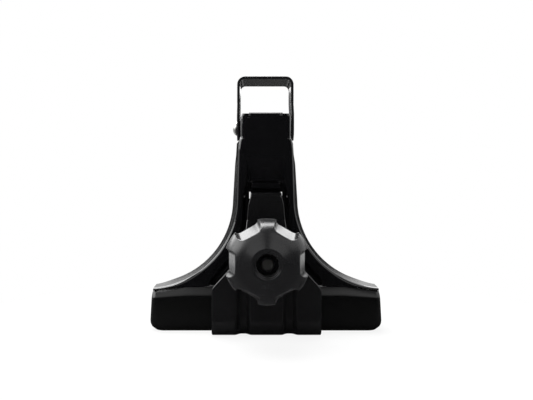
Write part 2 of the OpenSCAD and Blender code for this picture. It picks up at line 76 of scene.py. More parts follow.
class FootSizes(bpy.types.PropertyGroup):
    """Sizes of the roof bar foot."""

    bar_w: length("Bar width", "Width of the square load bar", 32)
    bar_h: length("Bar height", "Height of the square load bar", 22)
    side_gap: length("Bar side gap", "Clearance beside the bar in the shackle", 0.8)
    top_gap: length("Bar top gap", "Clearance over the bar in the shackle", 1.9)
    saddle_z: length("Saddle height", "Height of the saddle above the shoe's underside", 137.5)
    saddle_w: length("Saddle width", "Width of the saddle over the flanges' top edges", 30.4)
    pinch_w: length("Pinch width", "Width over the flanges between the shackle's ears", 32)
    saddle_len: length("Saddle length", "Length of the saddle along the bar", 30)
    tab_w: length("Tab width", "Width of the bent tab that carries the bar", 21.4)
    web_out: length("Web stand-off", "Web's face in front of the shoe's middle", 8)
    sheet: length("Sheet", "Thickness of the tower's sheet", 2)
    fold_r: length("Fold radius", "Outer radius of the tower's folds", 3)
    neck_w: length("Neck width", "Width of the neck below the shackle's ears", 34.7)
    sweep_r: length("Sweep radius", "Radius of the sweep from the neck to each wing", 56.6)
    tip_sharper: length("Tip sharpening", "Loss of the folds' radius at the wing tips", 1.7)
    neck_draw: length("Neck draw", "How far the folds draw in below the shackle's ears", 0.8)
    saddle_droop: length("Saddle droop", "Drop of the saddle's rolled front edge", 1.7)
    flange_d: length("Flange depth", "Depth of the side flanges", 21)
    flange_tip_d: length("Tip depth", "Depth of the flanges at the wing tips", 12)
    flange_lean: length("Flange lean", "Outward lean of the flanges' edge at the neck's foot", 3)
    neck_lean: length("Neck lean", "Outward lean of the flanges' edge at the neck's top", 2)
    tip_lean: length("Tip lean", "Outward lean of the flanges' edge at the wing tips", 0.6)
    skirt_flare: length("Skirt flare", "Forward flare of the web over the shoe", 1.6)
    recess_depth: length("Recess depth", "Depth of the recess behind the bracket", 4)
    recess_top_w: length("Recess top width", "Width of the recess at its top", 24)
    recess_w: length("Recess width", "Width of the recess beside the tongue", 30.2)
    recess_margin: length("Recess margin", "Margin round the bracket's shoulders", 3.2)
    rib_h: length("Rib height", "Height of the rib over the tongue's slot", 5.8)
    shoe_h: length("Shoe height", "Height of the shoe below the skirt", 27)
    shoe_d: length("Shoe depth", "Depth of the shoe across the gutter", 26)
    shoe_draft: length("Shoe draft", "Extra width of the shoe at its foot, each side", 1.2)
    shoe_corner_r: length("Shoe corner", "Radius of the shoe's lower corners", 6)
    shoulder_h: length("Shoulder height", "Height of the shoe's rounded shoulder", 5.4)
    plate: length("Plate", "Thickness of the bracket's plate", 3)
    clamp_w: length("Bracket width", "Width of the bracket's lower half", 65.8)
    tongue_w: length("Tongue width", "Width of the tongue", 19.5)
    tongue_z: length("Tongue height", "Height of the tongue's top", 86.4)
    tongue_out: length("Tongue stand-off", "From the web's face to the tongue's face", 8)
    clamp_out: length("Bracket stand-off", "From the web's face to the bracket's face", 20)
    groove_depth: length("Groove depth", "Depth of the stiffening grooves", 3.5)
    groove_w: length("Groove width", "Width of each groove at the plate's face", 9.2)
    groove_x: length("Groove offset", "Distance of each groove from the middle", 14)
    hook_reach: length("Hook reach", "Reach of the hook under the gutter's lip", 9.5)
    bolt_z: length("Bolt height", "Height of the clamp bolt", 46)
    bolt_d: length("Bolt diameter", "Thread diameter of the clamp bolt", 8)
    pitch: length("Thread pitch", "Pitch of the clamp bolt's thread", 1.25, 0.0002)
    knob_d: length("Knob diameter", "Diameter over the knob's lobes", 49.8)
    knob_depth: length("Knob depth", "Depth of the knob's grip", 22)
    knob_stand: length("Knob stand-off", "From the bracket's face to the grip's back", 10)
    hub_d: length("Hub diameter", "Diameter of the knob's hub", 22)
    notch_depth: length("Notch depth", "Depth of the finger notches", 3)
    lobe_w: length("Lobe width", "Width of each lobe", 10.8)
    face_hole_d: length("Face recess", "Diameter of the recess in the knob's face", 12.6)
    rim_w: length("Rim width", "Width of the rolled rim round the face's recess", 2.8)
    bolt_sunk: length("Bolt sunk", "How far the bolt's end lies below the knob's face", 5)
    washer_t: length("Washer", "Thickness of the thrust washer", 2)
    strap: length("Strap", "Thickness of the shackle's strap", 1.9)
    strap_w: length("Strap width", "Width of the shackle's strap along the bar", 25)
    strap_r: length("Strap bend", "Inner radius of the shackle's bends", 3.4)
    cross_drop: length("Cross bolt drop", "Depth of the cross bolt below the saddle", 8.5)
    cross_back: length("Cross bolt set-back", "Cross bolt behind the web's face", 18.5)
    cross_d: length("Cross bolt diameter", "Thread diameter of the cross bolt", 5)
    ear_r: length("Ear radius", "Radius of the shackle's ears", 8)
    gap: length("Gap", "Gap between pieces that move past each other", 0.3)
    neck_taper: FloatProperty(
        name="Neck taper",
        description="Widening of each side of the neck",
        default=math.radians(1.8),
        subtype="ANGLE",
    )
    notch_lean: FloatProperty(
        name="Notch lean",
        description="Lean of the finger notches towards the knob's face",
        default=math.radians(13.7),
        subtype="ANGLE",
    )
    lobes: IntProperty(name="Lobes", description="Number of lobes on the knob", default=6, min=3)


class FootFinishes(bpy.types.PropertyGroup):
    """Colours and gloss of the roof bar foot."""

    tower_black: tint("Tower paint", "Gloss black of the tower", (0.0042, 0.0042, 0.0048))
    clamp_black: tint("Bracket paint", "Gloss black of the bracket", (0.0075, 0.0075, 0.0080))
    shackle_black: tint("Shackle paint", "Satin black of the shackle", (0.0110, 0.0110, 0.0118))
    shoe_black: tint("Shoe moulding", "Black of the moulded shoe", (0.0030, 0.0030, 0.0032))
    knob_grey: tint("Knob moulding", "Dark grey of the knob", (0.0110, 0.0110, 0.0118))
    rubber_black: tint("Rubber", "Black of the hook's guard", (0.016, 0.016, 0.016))
    zinc: tint("Zinc", "Zinc plating of the bolts", (0.62, 0.62, 0.60))
    spring_grey: tint("Spring steel", "Grey of the push-on ring", (0.32, 0.32, 0.33))
    paint_gloss: share("Paint roughness", "Roughness of the gloss paint", 0.055)
    knob_gloss: share("Knob roughness", "Roughness of the knob's surface", 0.26)
    shoe_gloss: share("Shoe roughness", "Roughness of the shoe's surface", 0.30)


# Sizes and planes worked out from the properties, all in millimetres.


def layout():
    """The sizes in millimetres with the planes, centres and outlines that follow from them."""
    group = bpy.context.scene.foot_sizes
    s = SimpleNamespace()
    for key in FootSizes.__annotations__:
        value = getattr(group, key)
        setattr(s, key, value / MM if group.bl_rna.properties[key].unit == "LENGTH" else value)
    s.web_y = -s.web_out
    s.web_back = s.web_y + s.sheet
    s.floor_y = s.web_y + s.recess_depth
    s.floor_back = s.floor_y + s.sheet
    s.tongue_y = s.web_y - s.tongue_out
    s.clamp_y = s.web_y - s.clamp_out
    s.sweep_end = math.radians(86)
    s.sweep_cz = s.shoe_h - 1 + s.sweep_r * math.sin(s.sweep_end)
    s.sweep_top_z = s.sweep_cz - s.sweep_r * math.sin(s.neck_taper)
    s.cross_z = s.saddle_z - s.cross_drop
    s.cross_y = s.web_y + s.cross_back
    s.pinch_z = s.cross_z - s.ear_r - s.gap
    s.neck_top_z = s.pinch_z - 0.5
    s.washer_r = s.cross_d / 2 + 3
    s.neck_foot_x = s.neck_w / 2 + (s.neck_top_z - s.sweep_top_z) * math.tan(s.neck_taper)
    s.sweep_cx = s.neck_foot_x + s.sweep_r * math.cos(s.neck_taper)
    s.tip_x = s.sweep_cx - s.sweep_r * math.cos(s.sweep_end)
    s.skirt_top_z = s.shoe_h + 9
    s.seam_drop = 2.6
    s.seam_flat_x = s.tip_x * 0.7
    s.shoe_half = s.tip_x + 0.7
    s.seam_slope = s.seam_drop / (s.shoe_half - s.seam_flat_x)
    s.recess_ramp = 11
    s.recess_top_z = s.tongue_z + s.rib_h + 5
    s.shoulder_z = s.shoe_h + 1.3
    s.waist_z = s.bolt_z + 1.8
    s.waist_half = s.tongue_w / 2 + 5.2
    s.joggle_foot = s.bolt_z + 8
    s.slot_top_z = s.tongue_z + s.gap
    s.slot_foot_z = s.tongue_z - s.plate - 3 * s.gap
    s.tab_foot_z = s.saddle_z - s.fold_r - 0.8
    s.hub_back = s.clamp_y - 2 * s.gap - s.washer_t
    s.knob_back = s.clamp_y - s.knob_stand
    s.bolt_end = s.knob_back - s.knob_depth + s.bolt_sunk
    s.loop_w = s.bar_w + 2 * s.side_gap
    s.loop_z = s.saddle_z + s.bar_h + s.top_gap
    s.strap_y = s.cross_y - 3.5
    return s


def soft_min(a, b, k):
    """The smaller of two fields, with the crease between them rounded over k."""
    h = np.clip(0.5 + 0.5 * (b - a) / k, 0, 1)
    return b + (a - b) * h - k * h * (1 - h)


def soft_max(a, b, k):
    """The larger of two fields, with the crease between them rounded over k."""
    return -soft_min(-a, -b, k)


def ease(t):
    """A smooth step from 0 to 1."""
    t = np.clip(t, 0, 1)
    return t * t * (3 - 2 * t)


def steps(*stops):
    """Positions through stops given as value, count, value, count ... value."""
    spans = [
        np.linspace(a, b, n, endpoint=False)
        for a, n, b in zip(stops[:-2:2], stops[1::2], stops[2::2])
    ]
    return np.concatenate([*spans, [stops[-1]]])


def blurred(value, reach, at):
    """The mean of a function over a reach to each side, which rounds its corners."""
    return sum(value(at + reach * k / 4) for k in range(-4, 5)) / 9


# Closed skins: points, quads and end faces that face outwards.


def outward(points, quads, caps=()):
    """Turns every face over if the skin's signed volume is below zero."""
    p = points - points.mean(axis=0)

    def signed(a, b, c):
        return np.einsum("ij,ij->", p[a], np.cross(p[b], p[c]))

    a, b, c, d = quads.T
    total = signed(a, b, c) + signed(a, c, d)
    for cap in caps:
        total += signed(np.full(len(cap) - 2, cap[0]), cap[1:-1], cap[2:])
    faces = [*quads.tolist(), *(cap.tolist() for cap in caps)]
    return points, [f[::-1] for f in faces] if total < 0 else faces


def grid(n, m, closed):
    """Quads of an n by m grid whose rows are rings; the rows close on themselves if asked."""
    i = np.arange(n if closed else n - 1)[:, None]
    j = np.arange(m)[None, :]
    after, beside = (i + 1) % n, (j + 1) % m
    corners = (i * m + j, i * m + beside, after * m + beside, after * m + j)
    return np.stack(corners, axis=-1).reshape(-1, 4)


def tube(rings, closed=False, filled=True):
    """A skin over n rings of m points, each joined to the next, with its ends filled flat."""
    n, m = rings.shape[:2]
    caps = []
    if filled and not closed:
        caps = [np.arange(m)[::-1], np.arange((n - 1) * m, n * m)]
    return outward(rings.reshape(-1, 3), grid(n, m, closed), caps)


def folded(outer, inner):
    """A sheet between two grids of n by m points, closed along its four rims."""
    n, m = outer.shape[:2]
    rings = np.concatenate([outer, inner[:, ::-1]], axis=1)
    j = np.arange(m - 1)
    first = np.stack([j + 1, j, 2 * m - 1 - j, 2 * m - 2 - j], axis=-1)
    last = first[:, ::-1] + (n - 1) * 2 * m
    quads = np.concatenate([grid(n, 2 * m, False), first, last])
    return outward(rings.reshape(-1, 3), quads)


def prism(outline, low, high, axis):
    """An outline in the other two axes, in their order, carried along one axis."""
    outline = np.asarray(outline, float)
    rings = np.zeros((2, len(outline), 3))
    rings[..., [k for k in range(3) if k != axis]] = outline
    rings[0, :, axis], rings[1, :, axis] = low, high
    return tube(rings)


def box(low, high):
    """A box between two corners."""
    (x0, y0, z0), (x1, y1, z1) = low, high
    return prism([[y0, z0], [y1, z0], [y1, z1], [y0, z1]], x0, x1, 0)


def circle(radius, centre):
    """Points of a circle."""
    a = np.linspace(0, 2 * np.pi, 48, endpoint=False)
    return np.stack([centre[0] + radius * np.cos(a), centre[1] + radius * np.sin(a)], axis=-1)


def rounded_path(corners, radius, step):
    """Points and left normals along a line whose corners are arcs of one radius."""
    corners = np.asarray(corners, float)
    points, normals = [], []
    start = corners[0]
    for before, here, after in zip(corners[:-2], corners[1:-1], corners[2:]):
        u, v = before - here, after - here
        u, v = u / np.linalg.norm(u), v / np.linalg.norm(v)
        half = math.acos(float(np.clip(u @ v, -1, 1))) / 2
        centre = here + (u + v) / np.linalg.norm(u + v) * radius / math.sin(half)
        first = here + u * radius / math.tan(half)
        count = max(1, round(np.linalg.norm(first - start) / step))
        points.append(start + (first - start) * np.arange(count)[:, None] / count)
        normals.append(np.tile([u[1], -u[0]], (count, 1)))
        side = 1 if -u[0] * v[1] + u[1] * v[0] > 0 else -1
        a = side * (np.pi - 2 * half) * np.linspace(0, 1, 9)[:, None]
        spoke = first - centre
        arm = np.cos(a) * spoke + np.sin(a) * np.array([-spoke[1], spoke[0]])
        points.append(centre + arm)
        normals.append(-side * arm / radius)
        start = points[-1][-1]
        points[-1], normals[-1] = points[-1][:-1], normals[-1][:-1]
    last = corners[-1] - start
    count = max(1, round(np.linalg.norm(last) / step))
    points.append(start + last * np.arange(count + 1)[:, None] / count)
    unit = last / np.linalg.norm(last)
    normals.append(np.tile([-unit[1], unit[0]], (count + 1, 1)))
    return np.concatenate(points), np.concatenate(normals)


def plate_rings(path, normal, across, low, high, thick, edge, columns, push=None):
    """Rings of a plate carried along a path. A ring lies in the plane of the normal and the
    axis across, from low to high, with its four edges rounded; push moves it along +Y."""
    edge = np.minimum(edge, np.minimum((high - low) / 2, thick / 2) * 0.96)[:, None]
    low, high = low[:, None], high[:, None]
    side = np.clip(columns, low + edge, high - edge)
    turn = np.linspace(np.pi / 2, 0, 5)[None, 1:-1]
    across_turn, normal_turn = edge * (1 - np.cos(turn)), edge * (1 - np.sin(turn))
    face = np.full_like(side, thick / 2)
    flank = np.broadcast_to(thick / 2 - edge, low.shape)
    a = np.concatenate(
        [side, high - across_turn, high, high, (high - across_turn)[:, ::-1],
         side[:, ::-1], low + across_turn, low, low, (low + across_turn)[:, ::-1]], axis=1)
    rounding = thick / 2 - normal_turn
    b = np.concatenate(
        [face, rounding, flank, -flank, -rounding[:, ::-1],
         -face, -rounding, -flank, flank, rounding[:, ::-1]], axis=1)
    across = np.asarray(across, float)
    rings = path[:, None] + a[..., None] * across + b[..., None] * normal[:, None]
    if push is not None:
        rings[..., 1] += push(a)
    return rings


def mesh_of(name, skins):
    """One mesh object from several closed skins, with its doubled points merged."""
    points, faces, count = [], [], 0
    for skin_points, skin_faces in skins:
        points.append(skin_points)
        faces += [[k + count for k in f] for f in skin_faces]
        count += len(skin_points)
    mesh = bpy.data.meshes.new(name)
    mesh.from_pydata((np.concatenate(points) * MM).tolist(), [], faces)
    work = bmesh.new()
    work.from_mesh(mesh)
    bmesh.ops.remove_doubles(work, verts=work.verts, dist=2e-6)
    bmesh.ops.dissolve_degenerate(work, edges=work.edges, dist=1e-6)
    work.to_mesh(mesh)
    work.free()
    piece = bpy.data.objects.new(name, mesh)
    bpy.context.scene.collection.objects.link(piece)
    return piece


def carved(piece, skins):
    """Cuts closed skins out of a piece and keeps the result as its mesh."""
    tool = mesh_of(piece.name + "_cutter", skins)
    cut = piece.modifiers.new("cut", "BOOLEAN")
    cut.operation, cut.object, cut.solver = "DIFFERENCE", tool, "EXACT"
    bpy.context.view_layer.update()
    shaped = piece.evaluated_get(bpy.context.evaluated_depsgraph_get())
    mesh = bpy.data.meshes.new_from_object(shaped)
    piece.modifiers.clear()
    old, piece.data = piece.data, mesh
    mesh.name = piece.name
    bpy.data.meshes.remove(old)
    bpy.data.meshes.remove(tool.data)
    return piece


def settle(piece, finish, body, slot, *nodes, crease=32):
    """Shades a finished piece, paints it, ties it to its body and hides the CAD nodes it stands
    for; the slot is not used.
    """
    piece.data.polygons.foreach_set("use_smooth", np.ones(len(piece.data.polygons), bool))
    piece.data.set_sharp_from_angle(angle=math.radians(crease))
    piece.data.materials.clear()
    piece.data.materials.append(finish)
    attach(piece, body)
    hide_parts(*nodes)


# Shader maths as Python expressions.


class Wire:
    """An output socket of a node. Python's operators on it add Math nodes."""

    def __init__(self, finish, socket):
        self.finish, self.socket = finish, socket

    def math(self, operation, first, second=0.0):
        """A Math node on two values or wires."""
        settings = {"operation": operation}
        return self.finish.node("ShaderNodeMath", settings, {0: first, 1: second})[0]

    def __add__(self, other):
        return self.math("ADD", self, other)

    def __mul__(self, other):
        return self.math("MULTIPLY", self, other)

    def __gt__(self, other):
        return self.math("GREATER_THAN", self, other)


class Finish:
    """A node material. node() adds any node and returns its outputs as wires."""

    def __init__(self, name, world=None):
        self.owner = world or bpy.data.materials.new(name)
        self.owner.use_nodes = True
        self.tree = self.owner.node_tree
        self.tree.nodes.clear()

    def node(self, kind, settings=None, inputs=None):
        """A node of a kind, with its settings set first and then its sockets."""
        made = self.tree.nodes.new(kind)
        for key, value in (settings or {}).items():
            setattr(made, key, value)
        for key, value in (inputs or {}).items():
            if isinstance(value, Wire):
                self.tree.links.new(value.socket, made.inputs[key])
            else:
                made.inputs[key].default_value = value
        return [Wire(self, out) for out in made.outputs if out.enabled]

    def place(self):
        """The piece's own coordinates, in metres."""
        return self.node("ShaderNodeTexCoord")[3]

    def noise(self, scale, detail=2.0, roughness=0.5, at=None):
        """A noise from 0 to 1 whose grains are about 1 / scale metres."""
        return self.node(
            "ShaderNodeTexNoise", None,
            {"Vector": at or self.place(), "Scale": scale, "Detail": detail,
             "Roughness": roughness},
        )[0]

    def mix(self, share, first, second):
        """A colour between two, by a share."""
        return self.node(
            "ShaderNodeMix", {"data_type": "RGBA"}, {"Factor": share, 6: first, 7: second}
        )[0]

    def bump(self, height, distance, normal=None):
        """A normal raised by a height, over another normal if one is given."""
        inputs = {"Height": height, "Distance": distance}
        if normal is not None:
            inputs["Normal"] = normal
        return self.node("ShaderNodeBump", None, inputs)[0]

    def shader(self, inputs):
        """The surface itself, a Principled BSDF joined to the output."""
        surface = self.node("ShaderNodeBsdfPrincipled", None, inputs)[0]
        self.node("ShaderNodeOutputMaterial", None, {"Surface": surface})
        return self.owner


def rgba(colour, gain=1.0):
    """A colour times a gain, as four channels."""
    return (*(min(1.0, c * gain) for c in colour), 1.0)


def gloss_paint(name, colour, rough, peel=1.0):
    """Baked gloss paint: a faint orange peel, slow changes of tone and a little fine dust."""
    f = Finish(name)
    slow, grain, dust = f.noise(45, 3), f.noise(420, 2), f.noise(5200, 1)
    specks = (dust > 0.74) * 0.10
    wave = f.bump(grain, 0.00004 * peel)
    return f.shader({
        "Base Color": f.mix(slow, rgba(colour, 0.8), rgba(colour, 1.25)),
        "Roughness": slow * 0.03 + specks * 0.6 + (rough - 0.015),
        "Normal": f.bump(dust, 0.000004, normal=wave),
        "IOR": 1.5,
    })


def moulding(name, colour, rough, grain_scale, grain_depth, ior=1.48, bloom=0.0):
    """Moulded plastic: a fine spark-eroded grain over slow changes of gloss, with a pale
    bloom at glancing angles where it is handled."""
    f = Finish(name)
    slow, grain, fine = f.noise(60, 3), f.noise(grain_scale, 3, 0.6), f.noise(grain_scale * 3.1, 2)
    height = grain * 0.65 + fine * 0.35
    return f.shader({
        "Base Color": f.mix(slow * 0.6 + grain * 0.4, rgba(colour, 0.75), rgba(colour, 1.3)),
        "Roughness": slow * 0.08 + grain * 0.06 + (rough - 0.07),
        "Normal": f.bump(height, grain_depth),
        "IOR": ior,
        "Sheen Weight": bloom,
        "Sheen Roughness": 0.3,
    })


def plated(name, colour, rough, drawn):
    """Plated or bare steel: drawn scratches along one axis and clouded tone."""
    f = Finish(name)
    along, aside = 60.0, 1400.0
    scale = [along if axis == drawn else aside for axis in range(3)]
    stretched = f.node("ShaderNodeMapping", None, {"Vector": f.place(), "Scale": scale})[0]
    scratch = f.noise(1.0, 2, 0.6, stretched)
    cloud = f.noise(150, 4, 0.6)
    return f.shader({
        "Base Color": f.mix(cloud, rgba(colour, 0.72), rgba(colour, 1.18)),
        "Roughness": cloud * 0.16 + scratch * 0.12 + (rough - 0.14),
        "Normal": f.bump(scratch, 0.000012),
        "Metallic": 1.0,
    })


# The tower.


def face_y(s, z):
    """The web's front face at a height: flat, then flared forward over the shoe."""
    turn = np.clip((s.skirt_top_z - z) / (s.skirt_top_z - s.shoe_h), 0, 1) * np.pi / 2
    return s.web_y - s.skirt_flare * (1 - np.cos(turn))


def recess_half(s, z):
    """Half the recess's width at a height, with the outline's corners rounded."""
    heights = [s.shoulder_z + s.recess_margin / 2, s.waist_z + s.recess_margin, s.bolt_z + 20,
               s.tongue_z - 5, s.recess_top_z]
    halves = [s.clamp_w / 2 + s.recess_margin, s.waist_half + s.recess_margin,
              s.recess_w / 2, s.recess_w / 2 - 0.4, s.recess_top_w / 2]
    return blurred(lambda at: np.interp(at, heights, halves), 2.2, z)


def web_face(s, x, z):
    """The web's face as a field over X and Z: the flared skin, pressed back in the recess
    by the least of its wall's slope, its ramp and its depth, and forward in the rib by its
    height inside a rounded rectangle."""
    skin = face_y(s, z)
    half = recess_half(s, z)
    slope = recess_half(s, z + 0.5) - recess_half(s, z - 0.5)
    wall_slope, rib_slope = 2.0, 2.6
    floor_bend, lip_bend, crest_bend, foot_bend = 1.3, 0.9, 1.1, 0.8
    wall = (half - np.abs(x)) / np.sqrt(1 + slope * slope) * wall_slope
    ramp = (s.recess_top_z + s.recess_ramp - z) * s.recess_depth / s.recess_ramp
    depth = soft_min(soft_min(wall, ramp, floor_bend), s.recess_depth, floor_bend)
    depth = soft_max(depth, 0.0, lip_bend) / s.recess_depth
    corner, rib_out = 2.0, 2.8
    qx = np.abs(x) - (s.tongue_w / 2 + 0.4 - corner)
    qz = np.abs(z - s.slot_top_z - 1 - s.rib_h / 2) - (s.rib_h / 2 - corner)
    outside = np.hypot(np.maximum(qx, 0), np.maximum(qz, 0))
    inside = corner - outside - np.minimum(np.maximum(qx, qz), 0)
    rib = soft_max(soft_min(inside * rib_slope, rib_out, crest_bend), 0.0, foot_bend)
    return skin + (s.floor_y - skin) * depth - rib


def tower_skin(s):
    """The pressed sheet: at each station along its edge, from the wing tip over the sweep
    and the neck to the saddle, a section runs from one flange's back edge round its fold,
    across the web and round the other fold. The fold's radius shrinks towards the tip, and
    the top stations droop at the front."""
    a = np.linspace(s.sweep_end, s.neck_taper, 84)
    x = s.sweep_cx - s.sweep_r * np.cos(a)
    outward_turn = (np.clip(a - s.neck_taper, 0, None) / (s.sweep_end - s.neck_taper)) ** 1.5
    lean = s.flange_lean + (s.tip_lean - s.flange_lean) * outward_turn
    reach = np.clip((s.tip_x - x) / (0.18 * s.tip_x), 0, 1)
    sweep = [x, s.sweep_cz - s.sweep_r * np.sin(a), np.cos(a), np.sin(a), lean,
             s.flange_tip_d + (s.flange_d - s.flange_tip_d) * ease(reach),
             s.fold_r - s.tip_sharper * outward_turn]
    rib_low, top = s.slot_top_z + 1, s.recess_top_z + s.recess_ramp
    z = steps(s.sweep_top_z + 1, 5, rib_low - 1, 34, rib_low + s.rib_h + 1, 6, s.recess_top_z - 2,
              8, s.recess_top_z + 2, 8, top - 2, 10, top + 2, 10, s.neck_top_z, 7, s.pinch_z, 8,
              s.cross_z + s.washer_r, 3, s.saddle_z + 0.5)
    below = np.minimum(z, s.neck_top_z)
    pinch = ease((z - s.neck_top_z) / (s.pinch_z - s.neck_top_z))
    top_in = np.interp(z, [s.cross_z + s.washer_r, s.saddle_z], [0, (s.pinch_w - s.saddle_w) / 2])
    draw = s.neck_draw * np.clip((below - s.neck_top_z + 8) / 8, 0, None) ** 2
    straight = s.neck_w / 2 + (s.neck_top_z - below) * np.tan(s.neck_taper) - draw
    up = (below - s.sweep_top_z) / (s.neck_top_z - s.sweep_top_z)
    rise = ease((z - s.neck_top_z + 16) / 10)
    neck = [straight + (s.pinch_w / 2 - straight) * pinch - top_in, z, np.ones_like(z),
            np.zeros_like(z),
            (s.flange_lean + (s.neck_lean - s.flange_lean) * up + draw) * (1 - pinch),
            s.flange_d + (s.saddle_len - s.flange_d) * rise, s.fold_r + 0 * z]
    x, z, nx, nz, lean, depth, fold = (np.concatenate(pair)[:, None] for pair in zip(sweep, neck))
    droop = s.saddle_droop * ease((z - s.saddle_z + 2) / 2.5)

    t = np.linspace(0, 1, 7)[None]
    bend = np.radians(np.linspace(90, 0, 11))[None, 1:-1]
    grids = []
    for inset in (0, s.sheet):
        r = np.maximum(fold - inset, 0.2)
        middle = inset + r
        u = np.concatenate([lean * (1 - t) - inset, r * np.sin(bend) - middle], axis=1)
        y = np.concatenate([depth + (middle - depth) * t, middle - r * np.cos(bend)], axis=1)
        fx, fz = x + nx * u, z + nz * u - droop * np.clip(1 - y / 12, 0, 1)
        flare = (face_y(s, fz) - s.web_y) * ease(1 - (y - inset) / r)
        web_z = z - nz * middle
        edge = x - nx * middle
        half = recess_half(s, web_z)
        wall_out = np.minimum(half + 1.0, edge - 0.5)
        wall_in = half - 4.8
        k = np.linspace(0, 1, 9)[None, :-1]
        m = np.linspace(0, 1, 27)[None, :-1]
        c = np.linspace(0, 1, 12)[None]
        wx = np.concatenate([edge + (wall_out - edge) * k, wall_out + (wall_in - wall_out) * m,
                             wall_in * (1 - c)], axis=1)
        wz = np.broadcast_to(web_z - droop, wx.shape)
        fy, wy = s.web_y + y + flare, web_face(s, wx, wz) + inset
        right = np.stack([np.concatenate(pair, axis=1) for pair in ((fx, wx), (fy, wy), (fz, wz))],
                         axis=-1)
        left = right[:, -2::-1] * [-1, 1, 1]
        grids.append(np.concatenate([right, left], axis=1))
    return folded(*grids)


def tower_cuts(s):
    """What is cut from the pressed sheet: all below the seam and above the saddle's rounded
    corners, the slits beside the saddle tab, the tongue's slot, the bolt's square hole and
    the cross bolt's holes."""
    far = 100
    end = s.shoe_h - s.seam_slope * (far - s.seam_flat_x)
    half = [[s.seam_flat_x, s.shoe_h], [far, end], [far, -far]]
    below = half + [[-x, z] for x, z in reversed(half)]
    spare, corner_r = 1.4, 2
    corner = rounded_path([[s.pinch_w / 2 + spare, s.cross_z], [s.saddle_w / 2 + 0.2, s.saddle_z],
                           [0, s.saddle_z]], corner_r, 20)[0].tolist()
    tab = s.tab_w / 2 + 0.03
    half = [[far, 2 * far], [far, s.cross_z], *corner[:-1], [tab, s.saddle_z], [tab, s.tab_foot_z]]
    above = half + [[-x, z] for x, z in reversed(half)]
    slot, square = s.tongue_w / 2 + 0.75, s.bolt_d / 2 + 0.2
    across = s.pinch_w / 2 + 1
    front, back = s.floor_y - 1, s.floor_back + 1
    return [
        prism(below, -far, far, 1),
        prism(above, -far, far, 1),
        box((-slot, front, s.slot_foot_z), (slot, back, s.slot_top_z)),
        box((-square, front, s.bolt_z - square), (square, back, s.bolt_z + square)),
        prism(circle(s.cross_d / 2 + 0.2, (s.cross_y, s.cross_z)), -across, across, 0),
    ]


def saddle_tab(s):
    """The tab bent back from the web's top, a plate carried round the bend."""
    mid = s.web_y + s.sheet / 2
    path, normal = rounded_path(
        [[mid, s.tab_foot_z], [mid, s.saddle_z - s.sheet / 2],
         [s.web_y + s.saddle_len - 3, s.saddle_z - s.sheet / 2]], s.fold_r - s.sheet / 2, 3)
    path, normal = np.insert(path, 0, 0, axis=1), np.insert(normal, 0, 0, axis=1)
    half = np.full(len(path), s.tab_w / 2)
    columns = np.linspace(-1, 1, 9) * s.tab_w / 2
    return tube(plate_rings(path, normal, (1, 0, 0), -half, half, s.sheet, 0.12, columns))


class FOOT_OT_tower(bpy.types.Operator):
    """Presses the tower: web, folded flanges, recess, rib, slot and saddle tab"""

    bl_idname = "foot.tower"
    bl_label = "Tower"

    def execute(self, context):
        s, look = layout(), context.scene.foot_finishes
        piece = carved(mesh_of("tower_pressing", [tower_skin(s)]), tower_cuts(s))
        tab = mesh_of("tab", [saddle_tab(s)])
        work = bmesh.new()
        work.from_mesh(piece.data)
        work.from_mesh(tab.data)
        work.to_mesh(piece.data)
        work.free()
        bpy.data.meshes.remove(tab.data)
        paint = gloss_paint("tower_gloss_paint", look.tower_black, look.paint_gloss)
        settle(piece, paint, "foot", "gloss_black_paint", "tower")
        return {"FINISHED"}


# The shoe.


def shoe_skin(s):
    """The moulded block: at each height a rounded rectangle, drawn in at its foot by the
    corner radius and at its top by the shoulder, whose depth grows with the height over
    the shoulder's foot to the power 1.4. The top falls towards the ends."""
    top = s.shoe_h - s.gap
    ledge = s.shoe_d / 2 + face_y(s, s.shoe_h) + 0.2
    foot_r, corner_r = 0.3, 4.0
    a = np.radians(np.linspace(0, 90, 4))
    foot_z, foot_in = foot_r * (1 - np.cos(a)), foot_r * (1 - np.sin(a))
    up = np.linspace(0, 1, 13)
    shoulder_z = top - s.shoulder_h + s.shoulder_h * up
    shoulder_in = ledge * up**1.4
    body_z = np.linspace(foot_r, top - s.shoulder_h, 12)[1:-1]
    z = np.concatenate([foot_z[:1], foot_z, body_z, shoulder_z, [top]])
    inset = np.concatenate([[s.shoe_d / 2], foot_in, 0 * body_z, shoulder_in, [s.shoe_d / 2]])
    half = s.shoe_half + s.shoe_draft * (1 - z / (top - s.seam_drop))
    lift = np.clip(s.shoe_corner_r - z, 0, None)
    half = half - s.shoe_corner_r + np.sqrt(s.shoe_corner_r**2 - lift**2)
    half[0] = half[1] = half[1] + 0.001
    deep = s.shoe_d / 2 - inset
    r = np.minimum(corner_r, deep)[:, None]
    turn = np.radians(np.linspace(0, 90, 9))[None]
    run = np.linspace(1, -1, 30)[None, 1:-1]
    flat_x, flat_y = half[:, None] - r, deep[:, None] - r
    cx, cy = flat_x + r * np.cos(turn), flat_y + r * np.sin(turn)
    x = np.concatenate([cx, flat_x * run, -cx[:, ::-1], -cx, -flat_x * run, cx[:, ::-1]], axis=1)
    y = np.concatenate([cy, deep[:, None] + 0 * run, cy[:, ::-1], -cy, -deep[:, None] + 0 * run,
                        -cy[:, ::-1]], axis=1)
    fall = s.seam_slope * np.clip(np.abs(x) - s.seam_flat_x, 0, None)
    height = z[:, None] - fall * (z[:, None] / top) ** 3
    return tube(np.stack([x, y, height], axis=-1), filled=False)


